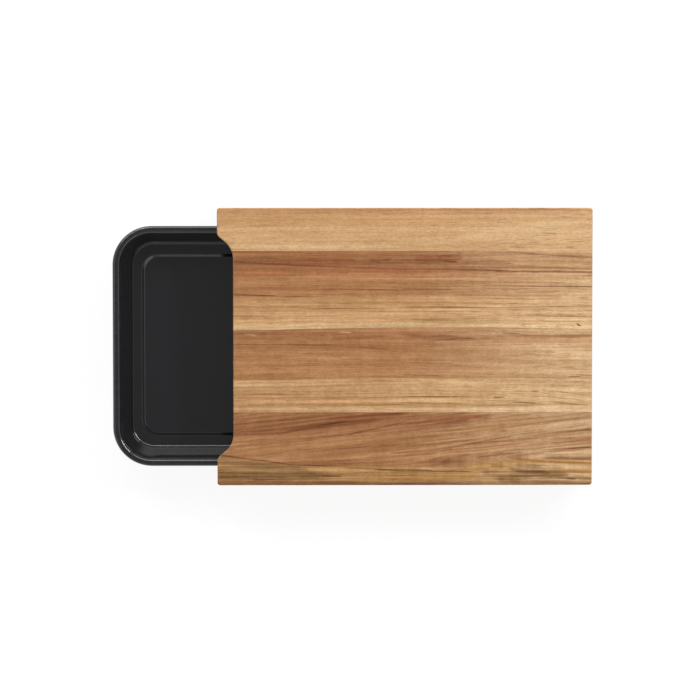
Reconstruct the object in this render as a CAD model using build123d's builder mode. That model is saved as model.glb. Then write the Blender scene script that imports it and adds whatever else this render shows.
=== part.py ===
from build123d import *
from math import radians, tan
import os

# Cutting board on an open wooden frame, with a steel tray that slides out from under it.
#
# Millimetres. +Z is up, X runs along the grain, and the tray is pulled out towards -X.
# Rear is +Y and front is -Y. The frame's open end is at -X, and its end rail at +X.
# The origin lies on the table, under the middle of the whole object as it stands with
# its tray part of the way out.

# ---- Driving dimensions ---------------------------------------------------------------

# the cutting board, glued up from four staves
board_length = 400.0
board_width = 296.0
board_thickness = 18.0
board_corner_radius = 3.0
board_edge_radius = 1.5
rear_stave_width = 46.0
middle_stave_width = 86.0

# the notch in the board's end, through which food is swept into the tray
notch_depth = 17.0
notch_margin = 2.6
notch_side_angle = 50.0
notch_mouth_radius = 6.5
notch_inner_radius = 24.0

# the frame under the board
rail_wall = 18.0
rail_edge_radius = 1.5
end_rail_thickness = 19.0
rebate_end_radius = 3.0

# the pressed steel tray and its rolled rim
tray_depth = 40.0
tray_corner_radius = 42.0
tray_sheet = 0.8
tray_extension = 113.0
rim_width = 7.4
rim_height = 6.0
rim_shoulder_radius = 4.2
rim_curl_radius = 2.8
rim_return = 5.4
wall_run = 10.7
wall_foot_radius = 3.0
panel_end_inset = 10.4
panel_side_inset = 12.0
panel_height = 0.9
panel_slope_run = 3.4
panel_corner_radius = 19.0
panel_bend_radius = 3.0
gutter_reach = 5.0
panel_reach = 5.0

# clearances of the tray in the frame
tray_side_clearance = 1.0
tray_end_clearance = 1.0
tray_wall_clearance = 1.6
tray_top_clearance = 0.8
tray_ground_clearance = 2.2
slide_gap = 0.2

# dowels that pin the glued joints
dowel_diameter = 8.0
dowel_cover = 7.0
dowel_in_rail = 15.0
dowel_in_end_rail = 18.0
dowel_well = 1.0
rail_dowel_count = 4
rail_dowel_margin = 52.0
end_dowel_count = 3
end_dowel_spacing = 80.0
corner_dowel_count = 2
corner_dowel_spacing = 20.0

# rubber feet and their screws
foot_height = 5.0
foot_diameter = 18.0
foot_tip_diameter = 15.5
foot_inset = 26.0
foot_hole_diameter = 4.0
foot_pocket_diameter = 8.4
foot_pocket_depth = 2.6
screw_head_diameter = 7.0
screw_head_height = 2.0
screw_diameter = 3.5
screw_in_rail = 11.0
screw_point = 3.0

# ---- Sizes and places that follow from them -------------------------------------------

# along X
total_length = board_length + tray_extension
board_end = tray_extension - total_length / 2
board_back = total_length / 2
board_middle = (board_end + board_back) / 2
end_rail_face = board_back - end_rail_thickness
end_rail_middle = board_back - end_rail_thickness / 2
tray_length = board_length - end_rail_thickness - tray_end_clearance
tray_middle = board_end - tray_extension + tray_length / 2
rail_dowel_spacing = (board_length - 2 * rail_dowel_margin) / (rail_dowel_count - 1)
foot_spacing = board_length - 2 * foot_inset

# across Y
tray_width = board_width - 2 * (rail_wall + tray_side_clearance)
ledge_width = rim_width - tray_sheet - tray_wall_clearance
rebate_width = tray_side_clearance + ledge_width
rail_thickness = rail_wall + rebate_width
rail_middle_y = (board_width - rail_thickness) / 2
rail_wall_middle_y = (board_width - rail_wall) / 2
rail_inner_y = board_width / 2 - rail_thickness
front_stave_width = board_width - rear_stave_width - 2 * middle_stave_width

# up Z
rail_height = tray_top_clearance + tray_depth + tray_ground_clearance
rail_middle_z = foot_height + rail_height / 2
board_underside = foot_height + rail_height
rebate_height = tray_top_clearance + rim_height + slide_gap
ledge_top = board_underside - rebate_height
rim_top = board_underside - tray_top_clearance
dowel_in_board = board_thickness - dowel_cover
dowel_in_side_rail = rail_thickness - dowel_cover

# the tray's opening, and its floor between the feet of its walls
opening_length = tray_length - 2 * rim_width
opening_width = tray_width - 2 * rim_width
opening_radius = tray_corner_radius - rim_width
floor_length = opening_length - 2 * wall_run
floor_width = opening_width - 2 * wall_run
floor_radius = opening_radius - wall_run
panel_length = floor_length - 2 * panel_end_inset
panel_width = floor_width - 2 * panel_side_inset
floor_top = rim_top - tray_depth + tray_sheet

# the notch's corners, before they are rounded
notch_width = opening_width - 2 * notch_margin
notch_inner_width = notch_width - 2 * notch_depth / tan(radians(notch_side_angle))

os.makedirs("parts", exist_ok=True)


def save(piece, name):
    """Names a finished piece and writes it as its own file."""
    piece.part.label = name
    export_step(piece.part, f"parts/{name}.step")


# ---- Board: one glued panel, notched and rounded, then parted into its staves ----------

with BuildPart() as board_panel:
    with BuildSketch(Plane.XY.offset(board_underside)) as board_outline:
        with Locations((board_middle, 0)):
            Rectangle(board_length, board_width)
        with BuildLine():
            Polyline(
                (board_end, notch_width / 2),
                (board_end + notch_depth, notch_inner_width / 2),
                (board_end + notch_depth, -notch_inner_width / 2),
                (board_end, -notch_width / 2),
                close=True,
            )
        make_face(mode=Mode.SUBTRACT)
        notch_foot = board_outline.vertices().group_by(Axis.X)[1]
        fillet(notch_foot, notch_inner_radius)
        notch_mouth = board_outline.vertices().group_by(Axis.X)[0].sort_by(Axis.Y)[1:3]
        fillet(notch_mouth, notch_mouth_radius)
        board_corners = board_outline.vertices().sort_by(lambda corner: abs(corner.Y))[-4:]
        fillet(board_corners, board_corner_radius)
    extrude(amount=board_thickness)
    fillet(board_panel.faces().sort_by(Axis.Z)[-1].outer_wire().edges(), board_edge_radius)
    # blind holes in the underside for the dowels of the side rails and the end rail
    with BuildSketch(Plane.XY.offset(board_underside)):
        with Locations((board_middle, 0)):
            with GridLocations(rail_dowel_spacing, 2 * rail_wall_middle_y, rail_dowel_count, 2):
                Circle(dowel_diameter / 2)
        with Locations((end_rail_middle, 0)):
            with GridLocations(1, end_dowel_spacing, 1, end_dowel_count):
                Circle(dowel_diameter / 2)
    extrude(amount=dowel_in_board + dowel_well, mode=Mode.SUBTRACT)

stave_widths = (rear_stave_width, middle_stave_width, middle_stave_width, front_stave_width)
stave_rear = board_width / 2
for number, stave_width in enumerate(stave_widths, start=1):
    with BuildPart() as board_stave:
        add(board_panel.part)
        with BuildSketch(Plane.XY.offset(board_underside)):
            with Locations((board_middle, stave_rear - stave_width / 2)):
                Rectangle(board_length, stave_width)
        extrude(amount=board_thickness, mode=Mode.INTERSECT)
    save(board_stave, f"board_stave_{number}")
    stave_rear -= stave_width

# ---- Rubber foot and its screw, each drawn once on its own axis --------------------------

with BuildPart() as rubber_foot:
    with BuildSketch(Plane.XZ):
        with BuildLine():
            Polyline(
                (foot_pocket_diameter / 2, 0),
                (foot_tip_diameter / 2, 0),
                (foot_diameter / 2, foot_height),
                (foot_hole_diameter / 2, foot_height),
                (foot_hole_diameter / 2, foot_pocket_depth),
                (foot_pocket_diameter / 2, foot_pocket_depth),
                close=True,
            )
        make_face()
    revolve(axis=Axis.Z)

screw_tip = foot_height + screw_in_rail
with BuildPart() as foot_screw:
    with BuildSketch(Plane.XZ):
        with BuildLine():
            Polyline(
                (0, foot_pocket_depth - screw_head_height),
                (screw_head_diameter / 2, foot_pocket_depth - screw_head_height),
                (screw_head_diameter / 2, foot_pocket_depth),
                (screw_diameter / 2, foot_pocket_depth),
                (screw_diameter / 2, screw_tip - screw_point),
                (0, screw_tip),
                close=True,
            )
        make_face()
    revolve(axis=Axis.Z)

# ---- Side rails, each with its dowels, feet and foot screws ------------------------------

for side_name, side in (("rear", 1), ("front", -1)):
    corner_joint = Plane((end_rail_middle, side * rail_inner_y, rail_middle_z), (1, 0, 0), (0, side, 0))

    with BuildPart() as side_rail:
        with BuildSketch(Plane.XY.offset(foot_height)) as rail_outline:
            with Locations((board_middle, side * rail_middle_y)):
                Rectangle(board_length, rail_thickness)
            outer_corners = rail_outline.vertices().filter_by(lambda corner: corner.Y * side > rail_middle_y)
            fillet(outer_corners, board_corner_radius)
        extrude(amount=rail_height)
        # the bottom edge is rounded outside and at both ends, and left square inside
        bottom_edges = side_rail.faces().sort_by(Axis.Z)[0].edges()
        inner_edge = bottom_edges.sort_by(lambda edge: edge.center().Y * side)[0]
        fillet([edge for edge in bottom_edges if edge is not inner_edge], rail_edge_radius)
        # the rebate that carries the tray's rim stops at the end rail, in rounded corners
        with BuildSketch(Plane.XY.offset(ledge_top)) as rebate:
            with Locations(((board_end + end_rail_face) / 2, side * (rail_inner_y + rebate_width / 2))):
                Rectangle(end_rail_face - board_end, rebate_width)
            far_corner = rebate.vertices().group_by(Axis.X)[-1].sort_by(lambda corner: corner.Y * side)[-1]
            fillet(far_corner, rebate_end_radius)
        extrude(amount=rebate_height, mode=Mode.SUBTRACT)
        # holes for the dowels into the board
        with BuildSketch(Plane.XY.offset(board_underside)):
            with Locations((board_middle, side * rail_wall_middle_y)):
                with GridLocations(rail_dowel_spacing, 1, rail_dowel_count, 1):
                    Circle(dowel_diameter / 2)
        extrude(amount=-dowel_in_rail - dowel_well, mode=Mode.SUBTRACT)
        # holes for the dowels into the end rail
        with BuildSketch(corner_joint):
            with GridLocations(1, corner_dowel_spacing, 1, corner_dowel_count):
                Circle(dowel_diameter / 2)
        extrude(amount=dowel_in_side_rail + dowel_well, mode=Mode.SUBTRACT)
        # pilot holes for the foot screws
        with BuildSketch(Plane.XY.offset(foot_height)):
            with Locations((board_middle, side * rail_middle_y)):
                with GridLocations(foot_spacing, 1, 2, 1):
                    Circle(screw_diameter / 2)
        extrude(amount=screw_in_rail, mode=Mode.SUBTRACT)
    save(side_rail, f"{side_name}_rail")

    with BuildPart() as rail_dowels:
        with BuildSketch(Plane.XY.offset(board_underside - dowel_in_rail)):
            with Locations((board_middle, side * rail_wall_middle_y)):
                with GridLocations(rail_dowel_spacing, 1, rail_dowel_count, 1):
                    Circle(dowel_diameter / 2)
        extrude(amount=dowel_in_rail + dowel_in_board)
    save(rail_dowels, f"{side_name}_rail_dowels")

    with BuildPart() as corner_dowels:
        with BuildSketch(corner_joint.offset(-dowel_in_end_rail)):
            with GridLocations(1, corner_dowel_spacing, 1, corner_dowel_count):
                Circle(dowel_diameter / 2)
        extrude(amount=dowel_in_end_rail + dowel_in_side_rail)
    save(corner_dowels, f"{side_name}_corner_dowels")

    for end_name, end in (("left", -1), ("right", 1)):
        with BuildPart() as foot:
            with Locations((board_middle + end * foot_spacing / 2, side * rail_middle_y, 0)):
                add(rubber_foot.part)
        save(foot, f"{side_name}_{end_name}_foot")

    with BuildPart() as foot_screws:
        with Locations((board_middle, side * rail_middle_y, 0)):
            with GridLocations(foot_spacing, 1, 2, 1):
                add(foot_screw.part)
    save(foot_screws, f"{side_name}_foot_screws")

# ---- End rail, between the side rails at the frame's closed end --------------------------

with BuildPart() as end_rail:
    with BuildSketch(Plane.XY.offset(foot_height)):
        with Locations((end_rail_middle, 0)):
            Rectangle(end_rail_thickness, 2 * rail_inner_y)
    extrude(amount=rail_height)
    fillet(end_rail.faces().sort_by(Axis.Z)[0].edges().sort_by(Axis.X)[-1], rail_edge_radius)
    # holes for the dowels into the board
    with BuildSketch(Plane.XY.offset(board_underside)):
        with Locations((end_rail_middle, 0)):
            with GridLocations(1, end_dowel_spacing, 1, end_dowel_count):
                Circle(dowel_diameter / 2)
    extrude(amount=-dowel_in_rail - dowel_well, mode=Mode.SUBTRACT)
    # holes in both ends for the dowels into the side rails
    for side in (1, -1):
        with BuildSketch(Plane((end_rail_middle, side * rail_inner_y, rail_middle_z), (1, 0, 0), (0, side, 0))):
            with GridLocations(1, corner_dowel_spacing, 1, corner_dowel_count):
                Circle(dowel_diameter / 2)
        extrude(amount=-dowel_in_end_rail - dowel_well, mode=Mode.SUBTRACT)
save(end_rail, "end_rail")

with BuildPart() as end_rail_dowels:
    with BuildSketch(Plane.XY.offset(board_underside - dowel_in_rail)):
        with Locations((end_rail_middle, 0)):
            with GridLocations(1, end_dowel_spacing, 1, end_dowel_count):
                Circle(dowel_diameter / 2)
    extrude(amount=dowel_in_rail + dowel_in_board)
save(end_rail_dowels, "end_rail_dowels")

# ---- Tray: pressed from one sheet, with a rolled rim and a raised floor panel ------------


def press_sheet(outline, points, bends):
    """Sweeps bent sheet round an outline.

    The points draw the sheet's upper face, as steps out from the outline and up from it.
    """
    outward = (outline % 0).cross(Vector(0, 0, 1))
    with BuildSketch(Plane(outline @ 0, x_dir=outward, z_dir=-(outline % 0))) as sheet_section:
        with BuildLine():
            FilletPolyline(*points, radius=bends)
            offset(amount=tray_sheet, side=Side.RIGHT)
        make_face()
    sweep(sheet_section.sketch, path=outline)


with BuildPart() as drawer_tray:
    # drafted walls that rise from the floor's gutter and roll over into the rim
    with BuildSketch(Plane.XY.offset(rim_top), mode=Mode.PRIVATE) as opening:
        with Locations((tray_middle, 0)):
            RectangleRounded(opening_length, opening_width, opening_radius)
    press_sheet(
        opening.sketch.face().outer_wire(),
        (
            (-wall_run - gutter_reach, floor_top - rim_top),
            (-wall_run, floor_top - rim_top),
            (0, 0),
            (rim_width, 0),
            (rim_width, -rim_height),
            (rim_width - rim_return, -rim_height),
        ),
        (wall_foot_radius, rim_shoulder_radius, rim_curl_radius, rim_curl_radius),
    )
    # the step from the gutter up to the floor's raised panel
    with BuildSketch(Plane.XY.offset(floor_top), mode=Mode.PRIVATE) as panel:
        with Locations((tray_middle, 0)):
            RectangleRounded(panel_length, panel_width, panel_corner_radius)
    press_sheet(
        panel.sketch.face().outer_wire(),
        (
            (-panel_slope_run - panel_reach, panel_height),
            (-panel_slope_run, panel_height),
            (0, 0),
            (panel_reach, 0),
        ),
        (panel_bend_radius, panel_bend_radius),
    )
    # the gutter, flat between the two
    with BuildSketch(Plane.XY.offset(floor_top)):
        with Locations((tray_middle, 0)):
            RectangleRounded(
                floor_length - 2 * gutter_reach,
                floor_width - 2 * gutter_reach,
                floor_radius - gutter_reach,
            )
            RectangleRounded(
                panel_length + panel_reach,
                panel_width + panel_reach,
                panel_corner_radius + panel_reach / 2,
                mode=Mode.SUBTRACT,
            )
    extrude(amount=-tray_sheet)
    # the panel itself
    with BuildSketch(Plane.XY.offset(floor_top + panel_height)):
        with Locations((tray_middle, 0)):
            RectangleRounded(
                panel_length - 2 * panel_slope_run - panel_reach,
                panel_width - 2 * panel_slope_run - panel_reach,
                panel_corner_radius - panel_slope_run - panel_reach / 2,
            )
    extrude(amount=-tray_sheet)
save(drawer_tray, "drawer_tray")
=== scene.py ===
import math
from functools import partialmethod
import bmesh
import bpy
from bpy.props import FloatProperty, FloatVectorProperty, IntProperty, PointerProperty
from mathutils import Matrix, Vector


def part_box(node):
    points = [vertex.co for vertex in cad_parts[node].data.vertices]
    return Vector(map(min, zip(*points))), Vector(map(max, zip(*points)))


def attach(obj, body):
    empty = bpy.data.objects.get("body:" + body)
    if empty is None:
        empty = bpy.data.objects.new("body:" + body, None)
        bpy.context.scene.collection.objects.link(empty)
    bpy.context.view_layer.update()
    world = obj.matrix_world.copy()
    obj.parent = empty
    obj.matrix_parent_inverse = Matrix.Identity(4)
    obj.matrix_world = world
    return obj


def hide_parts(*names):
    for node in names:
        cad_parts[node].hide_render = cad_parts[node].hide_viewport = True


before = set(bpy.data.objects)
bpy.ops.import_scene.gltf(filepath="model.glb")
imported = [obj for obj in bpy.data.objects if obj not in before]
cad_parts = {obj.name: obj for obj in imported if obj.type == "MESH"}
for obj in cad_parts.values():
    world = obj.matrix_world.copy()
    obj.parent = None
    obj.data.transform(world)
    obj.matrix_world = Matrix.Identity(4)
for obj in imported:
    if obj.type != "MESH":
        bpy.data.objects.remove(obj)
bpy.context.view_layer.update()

bl_info = {
    "name": "Cutting Board With Drawer Tray",
    "version": (1, 0, 0),
    "blender": (4, 5, 0),
    "location": "3D View > Sidebar > Cutting Board",
    "description": "Dresses a glued cutting board, its frame and the steel tray that slides under it",
    "category": "Object",
}

MM = 0.001
STAVES = ("board_stave_1", "board_stave_2", "board_stave_3", "board_stave_4")
SIDE_RAILS = ("rear_rail", "front_rail")

board_high = Vector(map(max, *(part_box(stave)[1] for stave in STAVES)))
tray_low, tray_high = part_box("drawer_tray")
foot_low, foot_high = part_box("rear_left_foot")
far_foot_low, far_foot_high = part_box("front_right_foot")
screw_low, screw_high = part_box("rear_foot_screws")
end_rail_low, end_rail_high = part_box("end_rail")


def tone(red, green, blue):
    """A colour given in display values from 0 to 255, as Blender's linear values."""
    shares = (value / 255 for value in (red, green, blue))
    return tuple(s / 12.92 if s <= 0.04045 else ((s + 0.055) / 1.055) ** 2.4 for s in shares)


# ---- What a user would change ----------------------------------------------------------


def length_of(name, description, default, **limits):
    """A length, in metres."""
    limits = {"min": 0.0, "unit": "LENGTH"} | limits
    return FloatProperty(name=name, description=description, default=default, **limits)


def share_of(name, description, default):
    """A share from 0 to 1."""
    limits = {"min": 0.0, "max": 1.0, "subtype": "FACTOR"}
    return FloatProperty(name=name, description=description, default=default, **limits)


def colour_of(name, description, default):
    """A colour, in linear values."""
    limits = {"min": 0.0, "max": 1.0, "subtype": "COLOR"}
    return FloatVectorProperty(name=name, description=description, default=default, **limits)


class WoodSettings(bpy.types.PropertyGroup):
    """Oiled acacia of the board and its frame."""

    fibre_contrast: share_of("Fibre Contrast", "How far the fine fibres lighten and darken the wood", 0.42)
    band_contrast: share_of("Band Contrast", "How far the grain's broad bands lighten and darken it", 0.24)
    fleck_contrast: share_of("Fleck Contrast", "How far the short flecks lighten and darken the wood", 0.2)
    pore_contrast: share_of("Pore Contrast", "How dark the open pores are", 0.36)
    pore_depth: length_of(
        "Pore Depth", "Depth of the pores and fibres that the light catches", 0.00012, max=0.001, precision=5
    )
    end_darkening: share_of("End Grain Darkening", "How much darker the oiled end grain is", 0.42)
    glue_line: length_of(
        "Glue Line", "Width of the dark line between two staves", 0.0003, max=0.002, precision=5
    )


class TraySettings(bpy.types.PropertyGroup):
    """The pressed tray, its rolled rim and its coating."""

    length: length_of("Length", "Outside length over the rim", tray_high.x - tray_low.x, min=0.1)
    width: length_of("Width", "Outside width over the rim", tray_high.y - tray_low.y, min=0.1)
    depth: length_of(
        "Depth", "From the rim's top to the underside of the gutter", tray_high.z - tray_low.z, min=0.01
    )
    corner_radius: length_of("Corner Radius", "Outside radius of the rim's corners", 0.042)
    sheet: length_of("Sheet", "Thickness of the steel", 0.0008, min=0.0003, precision=4)
    rim_width: length_of("Rim Width", "How far the rim stands out from the opening", 0.0074)
    rim_height: length_of("Rim Height", "How far the rim is turned down", 0.006)
    rim_return: length_of("Rim Return", "How far the rim is turned back under", 0.0054)
    shoulder_radius: length_of("Shoulder Radius", "Bend from the wall to the rim", 0.0042)
    curl_radius: length_of("Curl Radius", "Bends round the rim's outer edge", 0.0028)
    wall_run: length_of("Wall Run", "How far the sloping wall comes in at its foot", 0.0107)
    foot_radius: length_of("Wall Foot Radius", "Bend from the wall to the floor", 0.003)
    panel_end_inset: length_of("Panel End Inset", "From the wall's foot to the panel, at the ends", 0.0104)
    panel_side_inset: length_of("Panel Side Inset", "From the wall's foot to the panel, at the sides", 0.012)
    panel_height: length_of("Panel Height", "How far the floor's panel stands above its gutter", 0.0009)
    panel_slope_run: length_of("Panel Slope", "Width of the slope up to the panel", 0.0034)
    panel_slope_radius: length_of("Panel Slope Radius", "Bends at the foot and the head of the slope", 0.003)
    panel_corner_radius: length_of("Panel Corner Radius", "Radius of the panel's corners", 0.019)
    bend_steps: IntProperty(
        name="Bend Steps", description="Faces across each bend of the sheet", default=9, min=3, max=24
    )
    corner_steps: IntProperty(
        name="Corner Steps", description="Faces round each corner of the tray", default=30, min=6, max=90
    )
    coating_colour: colour_of("Coating Colour", "Colour of the baked coating", tone(26, 26, 29))


class FootSettings(bpy.types.PropertyGroup):
    """Rubber feet, their screws and the dowels of the frame."""

    foot_diameter: length_of("Foot Diameter", "Where the foot meets the rail", foot_high.x - foot_low.x)
    foot_tip_diameter: length_of("Foot Tip Diameter", "Where the foot meets the table", 0.0155)
    foot_height: length_of("Foot Height", "Height of a foot", foot_high.z - foot_low.z)
    foot_hole_diameter: length_of("Foot Hole", "Hole for the screw's shank", 0.004)
    foot_pocket_diameter: length_of("Foot Pocket", "Pocket that sinks the screw's head", 0.0084)
    foot_pocket_depth: length_of("Foot Pocket Depth", "Depth of the pocket", 0.0026)
    screw_head_diameter: length_of("Screw Head", "Diameter of the screw's head", 0.007)
    screw_head_height: length_of("Screw Head Height", "Height of the screw's head", 0.002)
    screw_diameter: length_of("Screw Diameter", "Over the screw's thread", 0.0035)
    screw_pitch: length_of("Screw Pitch", "From one turn of the thread to the next", 0.0012, min=0.0003)
    recess_width: length_of("Cross Recess", "Over the arms of the screw's cross recess", 0.0042)
    recess_depth: length_of("Recess Depth", "Depth of the cross recess", 0.0014)
    dowel_diameter: length_of("Dowel Diameter", "Over the dowel's flutes", 0.008)
    dowel_chamfer: length_of("Dowel Chamfer", "Bevel at the dowel's ends", 0.0008)
    dowel_flutes: IntProperty(
        name="Dowel Flutes", description="Glue grooves round a dowel", default=18, min=6
    )


class StageSettings(bpy.types.PropertyGroup):
    """Camera, softboxes, room and the white table."""

    camera_place: FloatVectorProperty(
        name="Camera Place",
        description="Where the camera stands, above the board",
        default=(-0.0204, 0.1112, 2.7223),
        subtype="TRANSLATION",
        unit="LENGTH",
    )
    camera_turn: FloatVectorProperty(
        name="Camera Turn",
        description="How the camera leans from looking straight down",
        default=(-0.04309, -0.00698, -0.00054),
        subtype="EULER",
    )
    camera_lens: FloatProperty(
        name="Lens", description="Focal length on a 36 mm wide film", default=128.29, unit="CAMERA"
    )
    light_level: FloatProperty(
        name="Light Level", description="How bright the softboxes are, all together", default=0.52, min=0.0
    )
    lamp_distance: length_of("Lamp Distance", "From the board to each softbox", 2.0, min=0.5)
    room_level: FloatProperty(
        name="Room Level", description="How bright the studio's walls are", default=0.85, min=0.0
    )
    ceiling_level: FloatProperty(
        name="Ceiling Level", description="How bright the studio's ceiling is", default=0.2, min=0.0
    )
    paper_colour: colour_of("Paper", "Colour of the table", (0.86, 0.86, 0.86))
    paper_glow: share_of("Paper Glow", "How white the table is to the camera, before any light", 0.9)
    paper_shade: share_of("Paper Shade", "How strongly the camera sees light and shadow on the table", 0.14)


# ---- Building node trees ---------------------------------------------------------------


class NodeChart:
    """Adds nodes to a tree and wires them."""

    def __init__(self, tree):
        self.tree = tree

    def node(self, kind, inputs=None, **settings):
        """A node with its settings, and with values or other nodes' outputs on its inputs."""
        made = self.tree.nodes.new(kind)
        for name, value in settings.items():
            setattr(made, name, value)
        for key, value in (inputs or {}).items():
            self.feed(made.inputs[key], value)
        return made

    def feed(self, socket, value):
        """Wires an output to a socket, or sets the socket to a value."""
        if isinstance(value, bpy.types.NodeSocket):
            self.tree.links.new(value, socket)
        elif socket.type == "RGBA":
            socket.default_value = (*value[:3], 1.0)
        else:
            socket.default_value = value

    def out(self, kind, inputs=None, **settings):
        """The first output of a new node."""
        return self.node(kind, inputs, **settings).outputs[0]

    def math(self, operation, *values, clamp=False):
        """The result of a sum, which a clamp keeps between 0 and 1."""
        return self.out("ShaderNodeMath", dict(enumerate(values)), operation=operation, use_clamp=clamp)

    plus = partialmethod(math, "ADD")
    minus = partialmethod(math, "SUBTRACT")
    times = partialmethod(math, "MULTIPLY")
    times_plus = partialmethod(math, "MULTIPLY_ADD")
    over = partialmethod(math, "DIVIDE")

    def blend(self, share, first, second, blend_type="MIX"):
        """Mixes two colours."""
        inputs = {0: share, 6: first, 7: second}
        return self.node("ShaderNodeMix", inputs, data_type="RGBA", blend_type=blend_type).outputs[2]

    def ramp(self, value, low, high, to_low=0.0, to_high=1.0, smooth=True):
        """Carries one range of values over to another, and holds what lies beyond it at the ends."""
        return self.out(
            "ShaderNodeMapRange",
            {"Value": value, "From Min": low, "From Max": high, "To Min": to_low, "To Max": to_high},
            interpolation_type="SMOOTHSTEP" if smooth else "LINEAR",
        )

    def noise(self, vector, scale=1.0, detail=2.0, roughness=0.5):
        inputs = {"Vector": vector, "Scale": scale, "Detail": detail, "Roughness": roughness}
        return self.out("ShaderNodeTexNoise", inputs)

    def combine(self, x, y, z):
        return self.out("ShaderNodeCombineXYZ", {"X": x, "Y": y, "Z": z})

    def separate(self, vector):
        """The three parts of a vector."""
        return self.node("ShaderNodeSeparateXYZ", {"Vector": vector}).outputs


def new_group(name, kind, inputs, outputs):
    """A node group with its named sockets. Returns its chart, its inputs by name and its output node."""
    tree = bpy.data.node_groups.new(name, kind)
    for label, socket, default in inputs:
        made = tree.interface.new_socket(label, in_out="INPUT", socket_type=f"NodeSocket{socket}")
        if default is not None:
            made.default_value = default
    for label, socket in outputs:
        tree.interface.new_socket(label, in_out="OUTPUT", socket_type=f"NodeSocket{socket}")
    chart = NodeChart(tree)
    return chart, tree.nodes.new("NodeGroupInput").outputs, tree.nodes.new("NodeGroupOutput").inputs


def floats(default, *labels):
    """Number inputs of a node group that share a default."""
    return [(label, "Float", default) for label in labels]


def place_group(chart, name, maker, **values):
    """Places a shared group, made when it is first needed. Its inputs are named with _ for a space."""
    group = bpy.data.node_groups.get(name) or maker()
    inputs = {label.replace("_", " "): value for label, value in values.items()}
    return chart.node("ShaderNodeGroup", inputs, node_tree=group).outputs


# ---- Effects that several materials share ----------------------------------------------


def wood_fibre_group():
    """Follows the grain of one piece of wood, in millimetres along and across it."""
    seed_shift = 137.0
    bow_middle, bow_reach, bow_half_width = 94.0, 175.0, 22.0
    inputs = [("Vector", "Vector", None), ("Top", "Float", 0.066), ("Slant", "Float", 0.6)]
    inputs += [("Wander", "Float", 1.0), *floats(0.0, "Lean", "Lean From", "Bow", "Bow Across", "Seed")]
    outputs = ("Along", "Across", "Fibre", "Band", "Pores", "Fleck", "Ripple")
    outputs = [(label, "Float") for label in outputs]
    chart, given, result = new_group("Wood Fibre", "ShaderNodeTree", inputs, outputs)
    x, y, z = (chart.times(part, 1 / MM) for part in chart.separate(given["Vector"]))
    under = chart.minus(z, chart.times(given["Top"], 1 / MM))
    shift = chart.times(given["Seed"], seed_shift)
    level = chart.times_plus(under, given["Slant"], y)

    # the whole figure wanders a little, and may bow in the middle of the board
    slow = chart.combine(chart.times_plus(x, 0.011, shift), chart.times(level, 0.045), under)
    drift = chart.minus(chart.noise(slow, 1.0, 1.5), 0.5)
    across = chart.times_plus(drift, chart.times(given["Wander"], 5.0), level)
    reach = chart.over(chart.minus(x, bow_middle), bow_reach)
    arch = chart.minus(1.0, chart.times(reach, reach), clamp=True)
    near = chart.over(chart.minus(level, given["Bow Across"]), bow_half_width)
    near = chart.minus(1.0, chart.times(near, near), clamp=True)
    bow = chart.times(chart.times(arch, near), given["Bow"])
    across = chart.minus(across, bow)

    # fine fibres run along the grain, which may lean on the rear side of a line
    leaning = chart.ramp(chart.minus(level, given["Lean From"]), -6.0, 10.0)
    lean = chart.times(chart.times(leaning, given["Lean"]), x)
    fine_across = chart.minus(across, lean)
    deep = chart.times_plus(under, 0.16, shift)

    def fibres(per_along, per_across, detail, roughness=0.55):
        """Noise drawn out along the grain, at so many waves per millimetre along and across it."""
        along = chart.times_plus(x, per_along, shift)
        vector = chart.combine(along, chart.times(fine_across, per_across), deep)
        return chart.noise(vector, 1.0, detail, roughness)

    thin = fibres(0.007, 0.36, 3.0, 0.75)
    broad = fibres(0.005, 0.15, 2.0)
    dashes = fibres(0.055, 0.9, 1.0)
    flecks = fibres(0.3, 0.6, 1.0)
    ripple = fibres(0.09, 0.06, 2.0)
    chart.feed(result["Along"], x)
    chart.feed(result["Across"], across)
    chart.feed(result["Fibre"], chart.ramp(thin, 0.34, 0.66, smooth=False))
    chart.feed(result["Fleck"], chart.ramp(flecks, 0.3, 0.7, smooth=False))
    chart.feed(result["Band"], chart.ramp(broad, 0.3, 0.7))
    coarser = chart.ramp(x, 20.0, 240.0, 0.6, 1.0)
    chart.feed(result["Pores"], chart.times(chart.ramp(dashes, 0.56, 0.74), coarser))
    chart.feed(result["Ripple"], chart.ramp(ripple, 0.3, 0.7))
    return chart.tree


def grain_streak_group():
    """Lays one tapering streak of another tone over the wood."""
    inputs = [("Colour", "Color", None), *floats(0.0, "Along", "Across"), ("Fibre", "Float", 0.5)]
    inputs += floats(0.0, "Centre Along", "Centre Across", "Slope", "Bend")
    inputs += [("Half Length", "Float", 50.0), ("Half Width", "Float", 1.0)]
    inputs += [("Tone", "Color", None), ("Cover", "Float", 0.5)]
    chart, given, result = new_group("Grain Streak", "ShaderNodeTree", inputs, [("Colour", "Color")])
    run = chart.minus(given["Along"], given["Centre Along"])
    share = chart.over(run, given["Half Length"])
    slope = chart.times_plus(run, given["Bend"], given["Slope"])
    middle = chart.times_plus(run, slope, given["Centre Across"])
    off = chart.math("ABSOLUTE", chart.minus(given["Across"], middle))
    taper = chart.minus(1.0, chart.times(share, share), clamp=True)
    width = chart.times_plus(chart.math("SQRT", taper), given["Half Width"], 0.001)
    body = chart.ramp(chart.over(off, width), 0.15, 1.15, 1.0, 0.0)
    ends = chart.ramp(taper, 0.0, 0.45)
    rough = chart.times_plus(given["Fibre"], -0.7, 1.25)
    mask = chart.times(chart.times(body, ends), given["Cover"])
    mask = chart.times(mask, rough, clamp=True)
    chart.feed(result["Colour"], chart.blend(mask, given["Colour"], given["Tone"]))
    return chart.tree


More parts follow.
